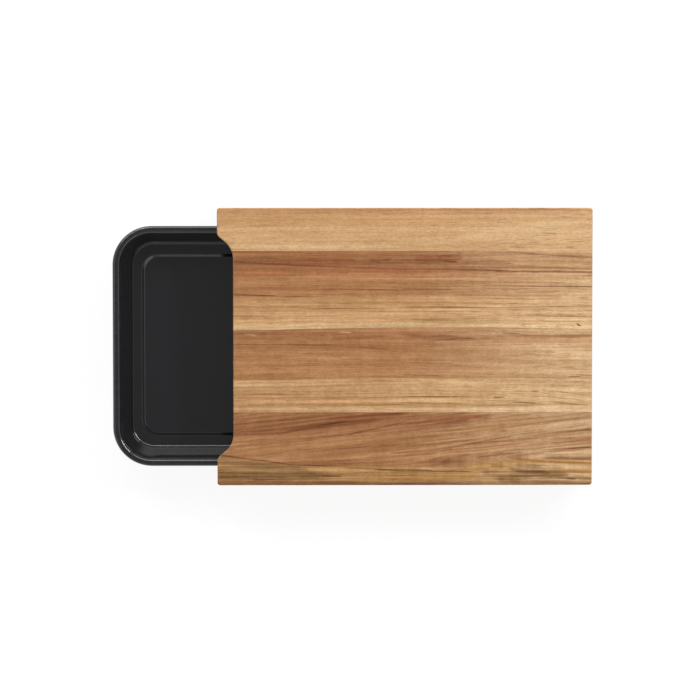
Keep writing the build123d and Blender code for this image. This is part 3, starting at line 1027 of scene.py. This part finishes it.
def set_out_tree():
    """Repeats a piece in columns and rows, then turns the whole set and puts it in its place."""
    inputs = [("Piece", "Geometry", None), ("Columns", "Int", 2), ("Rows", "Int", 2)]
    inputs += floats(0.1, "Column Spacing", "Row Spacing")
    inputs += [("Turn", "Vector", None), ("Centre", "Vector", None), ("Finish", "Material", None)]
    chart, given, result = new_group("Set Out In Rows", "GeometryNodeTree", inputs, [("Set", "Geometry")])

    def span(count, spacing):
        return chart.times(chart.minus(given[count], 1.0), given[spacing])

    grid = {"Size X": span("Columns", "Column Spacing"), "Size Y": span("Rows", "Row Spacing")}
    grid |= {"Vertices X": given["Columns"], "Vertices Y": given["Rows"]}
    places = chart.out("GeometryNodeMeshGrid", grid)
    pieces = chart.out("GeometryNodeInstanceOnPoints", {"Points": places, "Instance": given["Piece"]})
    pieces = chart.out("GeometryNodeRealizeInstances", {"Geometry": pieces})
    turn = chart.out("FunctionNodeEulerToRotation", {0: given["Turn"]})
    place = {"Geometry": pieces, "Translation": given["Centre"], "Rotation": turn}
    pieces = chart.out("GeometryNodeTransform", place)
    pieces = chart.out("GeometryNodeSetMaterial", {"Geometry": pieces, "Material": given["Finish"]})
    chart.feed(result["Set"], pieces)
    return chart.tree


def set_out(name, mesh, material, centre, columns, rows, spacing, turn=(0.0, 0.0, 0.0)):
    """A set of like pieces as one plain mesh."""
    piece = new_piece(f"{name}_drawn", mesh)
    add_tree(
        piece,
        bpy.data.node_groups.get("Set Out In Rows") or set_out_tree(),
        Columns=columns,
        Rows=rows,
        Column_Spacing=spacing[0],
        Row_Spacing=spacing[1],
        Turn=turn,
        Centre=centre,
        Finish=material,
    )
    return bake_piece(piece, name)


# ---- Operators -------------------------------------------------------------------------


class BOARD_OT_finish_staves(bpy.types.Operator):
    """Finishes the four glued staves of the board in oiled acacia"""

    bl_idname = "cutting_board.finish_staves"
    bl_label = "Board Staves"
    bl_options = {"REGISTER", "UNDO"}

    def execute(self, context):
        for number, stave in enumerate(STAVES):
            low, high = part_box(stave)
            seed = 3.1 + 7.7 * number
            glued = [y for y in (low.y, high.y) if abs(y) < board_high.y - MM]
            wood = {"streaks": STAVE_STREAKS[stave], "edges": glued} | STAVE_FIGURE[stave]
            dress(stave, wood_material(f"Acacia Stave {number + 1}", seed, **wood))
        return {"FINISHED"}


class BOARD_OT_finish_frame(bpy.types.Operator):
    """Finishes the side rails and the end rail in oiled acacia"""

    bl_idname = "cutting_board.finish_frame"
    bl_label = "Frame Rails"
    bl_options = {"REGISTER", "UNDO"}

    def execute(self, context):
        for number, rail in enumerate(SIDE_RAILS):
            low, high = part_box(rail)
            across = (high.y / MM, (high.y + low.y) / 2 / MM, low.y / MM)
            bands = tuple(zip(across, ("clay", "tan", "walnut")))
            dress(rail, wood_material(f"Acacia Side Rail {number + 1}", 41.3 + 9.1 * number, bands))
        across = (-end_rail_low.x / MM, -end_rail_high.x / MM)
        bands = tuple(zip(across, ("tan", "clay")))
        dress("end_rail", wood_material("Acacia End Rail", 63.9, bands, turned=True))
        return {"FINISHED"}


class BOARD_OT_press_tray(bpy.types.Operator):
    """Presses the tray from one sheet, with its rolled rim and its raised floor panel"""

    bl_idname = "cutting_board.press_tray"
    bl_label = "Pressed Tray"
    bl_options = {"REGISTER", "UNDO"}

    def execute(self, context):
        sizes = context.scene.cutting_board_tray
        opening_length = sizes.length - 2 * sizes.rim_width
        opening_width = sizes.width - 2 * sizes.rim_width
        rim_top = tray_high.z
        rim_foot = rim_top - sizes.rim_height
        floor_top = rim_top - sizes.depth + sizes.sheet
        panel_top = floor_top + sizes.panel_height
        panel_x = -sizes.wall_run - sizes.panel_end_inset
        panel_y = -sizes.wall_run - sizes.panel_side_inset
        opening_corner = sizes.corner_radius - sizes.rim_width
        panel_corner = sizes.panel_corner_radius
        hold, corner_hold = 0.00012, 0.002
        gutter_reach = 0.004

        slope = bent_line(
            (
                (-sizes.panel_slope_run - gutter_reach, panel_top),
                (-sizes.panel_slope_run, panel_top),
                (0.0, floor_top),
                (gutter_reach, floor_top),
            ),
            (sizes.panel_slope_radius, sizes.panel_slope_radius),
            sizes.bend_steps,
            hold,
        )
        wall = bent_line(
            (
                (-sizes.wall_run - gutter_reach, floor_top),
                (-sizes.wall_run, floor_top),
                (0.0, rim_top),
                (sizes.rim_width, rim_top),
                (sizes.rim_width, rim_foot),
                (sizes.rim_width - sizes.rim_return, rim_foot),
            ),
            (sizes.foot_radius, sizes.shoulder_radius, sizes.curl_radius, sizes.curl_radius),
            sizes.bend_steps,
            hold,
        )
        # the shoulder and the curl's upper bend are what other things rub against
        per_bend = sizes.bend_steps + 3
        rubbed = range(1 + per_bend, 1 + 3 * per_bend)

        def face(offset):
            """Points of one face of the sheet, from the middle of the tray out to the edge of its rim."""
            rows = [(-opening_width / 2, -opening_width / 2, 0.0, panel_top - offset, 0.0)]
            for point, right in slope:
                reach, height = point + right * offset
                rows.append((panel_x + reach, panel_y + reach, panel_corner + reach, height, 0.0))
            for number, (point, right) in enumerate(wall):
                reach, height = point + right * offset
                rub = 1.0 if number in rubbed and not offset else 0.0
                rows.append((reach, reach, opening_corner + reach, height, rub))
            return rows

        # the cut edge of the sheet is rounded over
        edge, right = wall[-1]
        way = -right_of(right)
        middle = edge + right * sizes.sheet / 2
        round_edge = []
        edge_steps = 6
        for step in range(1, edge_steps):
            angle = math.pi * step / edge_steps
            reach, height = middle + (way * math.sin(angle) - right * math.cos(angle)) * sizes.sheet / 2
            round_edge.append((reach, reach, opening_corner + reach, height, 0.0))
        section = face(0.0) + round_edge + face(sizes.sheet)[::-1]

        mesh = bpy.data.meshes.new("tray_section")
        mesh.from_pydata([(0.0, 0.0, 0.0)] * len(section), [], [])
        for name, values in zip(("reach_x", "reach_y", "corner", "height", "rub"), zip(*section)):
            mesh.attributes.new(name, "FLOAT", "POINT").data.foreach_set("value", values)
        tray = new_piece("tray_section", mesh)
        add_tree(
            tray,
            pressed_tray_tree(),
            Opening_Length=opening_length,
            Opening_Width=opening_width,
            Corner_Steps=sizes.corner_steps,
            Corner_Hold=corner_hold,
            Centre=((tray_low.x + tray_high.x) / 2, (tray_low.y + tray_high.y) / 2, 0.0),
            Coating=coating_material(),
        )
        bake_piece(tray, "pressed_tray")
        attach(tray, "tray")
        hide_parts("drawer_tray")
        return {"FINISHED"}


def foot_grid():
    """The middle of the four feet, and how far apart they stand along X and along Y."""
    corner = (foot_low + foot_high) / 2
    far_corner = (far_foot_low + far_foot_high) / 2
    middle = ((corner.x + far_corner.x) / 2, (corner.y + far_corner.y) / 2, 0.0)
    return middle, (abs(far_corner.x - corner.x), abs(far_corner.y - corner.y))


class BOARD_OT_screw_on_feet(bpy.types.Operator):
    """Sets four rubber feet under the side rails"""

    bl_idname = "cutting_board.screw_on_feet"
    bl_label = "Rubber Feet"
    bl_options = {"REGISTER", "UNDO"}

    def execute(self, context):
        sizes = context.scene.cutting_board_feet
        hole, pocket = sizes.foot_hole_diameter / 2, sizes.foot_pocket_diameter / 2
        tip, base = sizes.foot_tip_diameter / 2, sizes.foot_diameter / 2
        height, depth = sizes.foot_height, sizes.foot_pocket_depth
        # the outline starts and ends half way up the hole
        profile = rounded(
            (
                (hole, (depth + height) / 2),
                (hole, depth),
                (pocket, depth),
                (pocket, 0.0),
                (tip, 0.0),
                (base, height),
                (hole, height),
                (hole, (depth + height) / 2 + 0.0001),
            ),
            (0.0003, 0.0003, 0.0006, 0.001, 0.0002, 0.0002),
        )
        mesh = turned_mesh("rubber_foot", profile, steps=48)
        middle, spacing = foot_grid()
        feet = set_out("rubber_feet", mesh, rubber_material(), middle, 2, 2, spacing)
        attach(feet, "frame")
        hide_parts("rear_left_foot", "rear_right_foot", "front_left_foot", "front_right_foot")
        return {"FINISHED"}


def cross_punch(low, reach, half_width, depth):
    """A tapering cross that cuts the recess into a screw's head from below."""
    shell = bmesh.new()
    outline = []
    for quarter in range(4):
        for x, y in ((half_width, half_width), (half_width, reach), (-half_width, reach)):
            outline.append(swung(x, y, math.tau * quarter / 4))
    wide, narrow = 1.15, 0.55
    lower, upper = (
        [shell.verts.new((x * share, y * share, height)) for x, y in outline]
        for height, share in ((low - MM, wide), (low + depth, narrow))
    )
    shell.faces.new(lower)
    shell.faces.new(upper)
    for corner in range(len(outline)):
        after = (corner + 1) % len(outline)
        shell.faces.new((lower[corner], lower[after], upper[after], upper[corner]))
    return new_piece("cross_punch", shell_mesh("cross_punch", shell))


class BOARD_OT_drive_screws(bpy.types.Operator):
    """Drives a cross-head screw through each foot"""

    bl_idname = "cutting_board.drive_screws"
    bl_label = "Foot Screws"
    bl_options = {"REGISTER", "UNDO"}

    def execute(self, context):
        sizes = context.scene.cutting_board_feet
        head, shank = sizes.screw_head_diameter / 2, sizes.screw_diameter / 2
        low, tip = screw_low.z, screw_high.z
        seat = low + sizes.screw_head_height
        thread_start = seat + 0.0008
        taper = tip - 0.003
        thread_rows = 70
        thread_depth, thread_sharpness = 0.24, 3.2
        dome_rise, rim_start = 0.0007, 0.0009

        def thread(angle, height, radius):
            """Deepens the shank between the turns of the thread."""
            if radius > shank + 1e-6 or height < thread_start:
                return 1.0
            turn = (height / sizes.screw_pitch - angle / math.tau) % 1.0
            return 1.0 - thread_depth * min(1.0, abs(turn - 0.5) * thread_sharpness)

        profile = [(0.0, low)]
        for angle in (0.35, 0.7, 1.05, 1.3):
            profile.append((head * math.sin(angle), low + dome_rise * (1 - math.cos(angle))))
        profile += [(head, low + rim_start), (head, seat), (shank, seat)]
        for row in range(1, thread_rows + 1):
            profile.append((shank, seat + (taper - seat) * row / thread_rows))
        profile += [(shank * (1 - share), taper + (tip - taper) * share) for share in (0.25, 0.5, 0.75)]
        profile.append((0.0, tip))
        screw = new_piece("foot_screw_drawn", turned_mesh("foot_screw", profile, steps=32, shape=thread))
        arm_half_width = 0.00046
        cross = cross_punch(low, sizes.recess_width / 2, arm_half_width, sizes.recess_depth)
        cut = screw.modifiers.new("Cross Recess", "BOOLEAN")
        cut.operation = "DIFFERENCE"
        cut.solver = "EXACT"
        cut.object = cross
        mesh = bake_piece(screw, "foot_screw_cut").data
        bpy.data.objects.remove(cross)
        bpy.data.objects.remove(screw)
        middle, spacing = foot_grid()
        screws = set_out("foot_screws", mesh, screw_material(), middle, 2, 2, spacing)
        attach(screws, "frame")
        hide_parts("rear_foot_screws", "front_foot_screws")
        return {"FINISHED"}


class BOARD_OT_glue_dowels(bpy.types.Operator):
    """Fits the fluted dowels that pin the rails, the end rail and the board"""

    bl_idname = "cutting_board.glue_dowels"
    bl_label = "Dowels"
    bl_options = {"REGISTER", "UNDO"}

    def execute(self, context):
        sizes = context.scene.cutting_board_feet
        radius, chamfer = sizes.dowel_diameter / 2, sizes.dowel_chamfer
        rail_count, end_count, corner_count = 4, 3, 2
        flute_depth = 0.05
        material = beech_material()

        def flute(angle, height, ring):
            return 1.0 - flute_depth * (0.5 - 0.5 * math.cos(angle * sizes.dowel_flutes))

        def dowel(name, length):
            half = length / 2
            profile = [(0.0, -half), (radius - chamfer, -half), (radius, chamfer - half)]
            profile += [(reach, -height) for reach, height in reversed(profile)]
            mesh = turned_mesh(name, profile, sizes.dowel_flutes * 4, flute)
            shade(mesh, False)
            return mesh

        low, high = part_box("rear_rail_dowels")
        front_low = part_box("front_rail_dowels")[0]
        mesh = dowel("rail_dowel", high.z - low.z)
        centre = ((low.x + high.x) / 2, 0.0, (low.z + high.z) / 2)
        spacing = ((high.x - low.x - 2 * radius) / (rail_count - 1), high.y - front_low.y - 2 * radius)
        rail_dowels = set_out("rail_dowels", mesh, material, centre, rail_count, 2, spacing)
        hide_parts("rear_rail_dowels", "front_rail_dowels")

        low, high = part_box("end_rail_dowels")
        mesh = dowel("end_rail_dowel", high.z - low.z)
        name, spacing = "end_rail_dowels_fluted", (0.0, (high.y - low.y - 2 * radius) / (end_count - 1))
        end_dowels = set_out(name, mesh, material, (low + high) / 2, 1, end_count, spacing)
        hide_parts("end_rail_dowels")
        made = [rail_dowels, end_dowels]
        for side in ("rear", "front"):
            low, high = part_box(f"{side}_corner_dowels")
            mesh = dowel(f"{side}_corner_dowel", high.y - low.y)
            name, spacing = f"{side}_corner_dowels_fluted", (0.0, high.z - low.z - 2 * radius)
            turn = (math.pi / 2, 0.0, 0.0)
            middle = (low + high) / 2
            corner_dowels = set_out(name, mesh, material, middle, 1, corner_count, spacing, turn)
            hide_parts(f"{side}_corner_dowels")
            made.append(corner_dowels)
        for piece in made:
            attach(piece, "frame")
        return {"FINISHED"}


class BOARD_OT_set_stage(bpy.types.Operator):
    """Sets the white table, the softboxes and the camera overhead"""

    bl_idname = "cutting_board.set_stage"
    bl_label = "Stage"
    bl_options = {"REGISTER", "UNDO"}

    def execute(self, context):
        settings = context.scene.cutting_board_stage
        self.lay_paper(settings)
        self.hang_softboxes(settings)
        self.light_room(context.scene, settings)
        camera = new_piece("Camera", bpy.data.cameras.new("Camera"))
        camera.location = settings.camera_place
        camera.rotation_euler = settings.camera_turn
        camera.data.lens = settings.camera_lens
        camera.data.sensor_width = 36.0  # millimetres, as the lens
        context.scene.camera = camera
        context.scene.view_settings.view_transform = "Standard"
        return {"FINISHED"}

    def lay_paper(self, settings):
        """A white table that the camera sees as pure white away from the shadow."""
        reach, under_feet = 12.0, -0.0001
        mesh = bpy.data.meshes.new("paper")
        corners = [(x * reach, y * reach, under_feet) for x, y in ((-1, -1), (1, -1), (1, 1), (-1, 1))]
        mesh.from_pydata(corners, [], [(0, 1, 2, 3)])
        paper = new_piece("paper", mesh)
        material = bpy.data.materials.new("White Paper")
        material.use_nodes = True
        material.node_tree.nodes.clear()
        chart = NodeChart(material.node_tree)
        matt = chart.out("ShaderNodeBsdfDiffuse", {"Color": settings.paper_colour})
        shade_seen = chart.out("ShaderNodeBsdfDiffuse", {"Color": [settings.paper_shade] * 3})
        glow = chart.out("ShaderNodeEmission", {"Color": (1.0, 1.0, 1.0), "Strength": settings.paper_glow})
        seen = chart.out("ShaderNodeAddShader", {0: shade_seen, 1: glow})
        rays = chart.node("ShaderNodeLightPath").outputs
        direct = chart.math("MAXIMUM", rays["Is Camera Ray"], rays["Is Glossy Ray"])
        direct = chart.math("MAXIMUM", direct, rays["Is Transmission Ray"])
        mixed = chart.out("ShaderNodeMixShader", {0: direct, 1: matt, 2: seen})
        chart.node("ShaderNodeOutputMaterial", {"Surface": mixed})
        mesh.materials.append(material)

    def hang_softboxes(self, settings):
        """Each lamp has its compass angle from +X, its angle from straight up, its size and its glow."""
        aim = Vector((0.0, 0.0, 0.05))
        boxes = (
            ("Left Softbox", 126, 52, (1.3, 0.3), 16.0),
            ("Right Softbox", 36, 51, (0.9, 0.25), 52.0),
            ("Rear Panel", 90, 45, (1.6, 0.84), 4.6),
            ("Side Panel", 170, 33, (1.8, 0.6), 1.6),
            ("Front Panel", 272, 19, (1.2, 0.3), 0.7),
            ("Front Fill", 305, 62, (1.2, 0.5), 1.6),
        )
        for name, compass, lean, (width, height), glow in boxes:
            lamp = bpy.data.lights.new(name, "AREA")
            lamp.shape = "RECTANGLE"
            lamp.size, lamp.size_y = width, height
            lamp.energy = math.pi * width * height * glow * settings.light_level
            box = new_piece(name, lamp)
            turn, lean = math.radians(compass), math.radians(lean)
            way = Vector((math.sin(lean) * math.cos(turn), math.sin(lean) * math.sin(turn), math.cos(lean)))
            box.location = aim + way * settings.lamp_distance
            box.rotation_euler = way.to_track_quat("Z", "Y").to_euler()

    def light_room(self, scene, settings):
        """Pale walls round the table, under a dim ceiling."""
        world = bpy.data.worlds.new("Studio")
        scene.world = world
        world.use_nodes = True
        world.node_tree.nodes.clear()
        chart = NodeChart(world.node_tree)
        rise = chart.separate(chart.node("ShaderNodeTexCoord").outputs["Generated"])[2]
        walls_end, ceiling_start = 0.1, 0.9
        strength = chart.ramp(
            rise, walls_end, ceiling_start, settings.room_level, settings.ceiling_level
        )
        room = chart.out("ShaderNodeBackground", {"Color": (1.0, 1.0, 1.0), "Strength": strength})
        chart.node("ShaderNodeOutputWorld", {"Surface": room})


PIECE_OPERATORS = (
    BOARD_OT_finish_staves,
    BOARD_OT_finish_frame,
    BOARD_OT_press_tray,
    BOARD_OT_screw_on_feet,
    BOARD_OT_drive_screws,
    BOARD_OT_glue_dowels,
    BOARD_OT_set_stage,
)
SETTINGS = {
    "cutting_board_wood": WoodSettings,
    "cutting_board_tray": TraySettings,
    "cutting_board_feet": FootSettings,
    "cutting_board_stage": StageSettings,
}


class BOARD_PT_pieces(bpy.types.Panel):
    """Lists the pieces of the board, and the sizes and colours of each"""

    bl_idname = "BOARD_PT_pieces"
    bl_label = "Cutting Board"
    bl_space_type = "VIEW_3D"
    bl_region_type = "UI"
    bl_category = "Cutting Board"

    def draw(self, context):
        for operator in PIECE_OPERATORS:
            self.layout.operator(operator.bl_idname)
        for name, settings in SETTINGS.items():
            box = self.layout.box()
            for prop in settings.__annotations__:
                box.prop(getattr(context.scene, name), prop)


CLASSES = (*SETTINGS.values(), *PIECE_OPERATORS, BOARD_PT_pieces)


def register():
    for item in CLASSES:
        bpy.utils.register_class(item)
    for name, settings in SETTINGS.items():
        setattr(bpy.types.Scene, name, PointerProperty(type=settings))


def unregister():
    for name in SETTINGS:
        delattr(bpy.types.Scene, name)
    for item in reversed(CLASSES):
        bpy.utils.unregister_class(item)


def main():
    register()
    for operator in PIECE_OPERATORS:
        category, name = operator.bl_idname.split(".")
        getattr(getattr(bpy.ops, category), name)()


if __name__ == "__main__":
    main()
